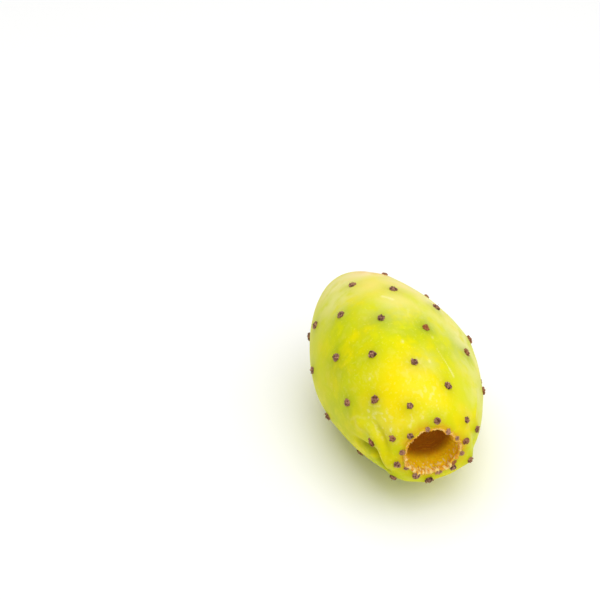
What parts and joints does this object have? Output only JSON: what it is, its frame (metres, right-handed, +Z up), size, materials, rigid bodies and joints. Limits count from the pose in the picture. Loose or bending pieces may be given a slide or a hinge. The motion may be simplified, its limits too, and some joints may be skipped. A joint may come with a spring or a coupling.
{
  "type": "prickly pear fruit",
  "caption": "Whole unpeeled prickly pear fruit lying on its side, with areole knobs in a spiral, a hollow floral cup at one end and a stem scar at the other.",
  "frame": {"origin": "middle of the fruit's outer box in X and Y, at the surface that it lies on", "axes": "+Y along the fruit towards its stem scar, -Y out of its floral cup, +Z up as it lies"},
  "size_m": [0.0552, 0.0824, 0.0507],
  "materials": {
    "fruit_skin": "satin",
    "areole_felt": "matte",
    "cup_lining": "matte",
    "stem_scar": "matte"
  },
  "bodies": {
    "root": {"prickly_pear_fruit": "fruit_skin"}
  },
  "joints": []
}
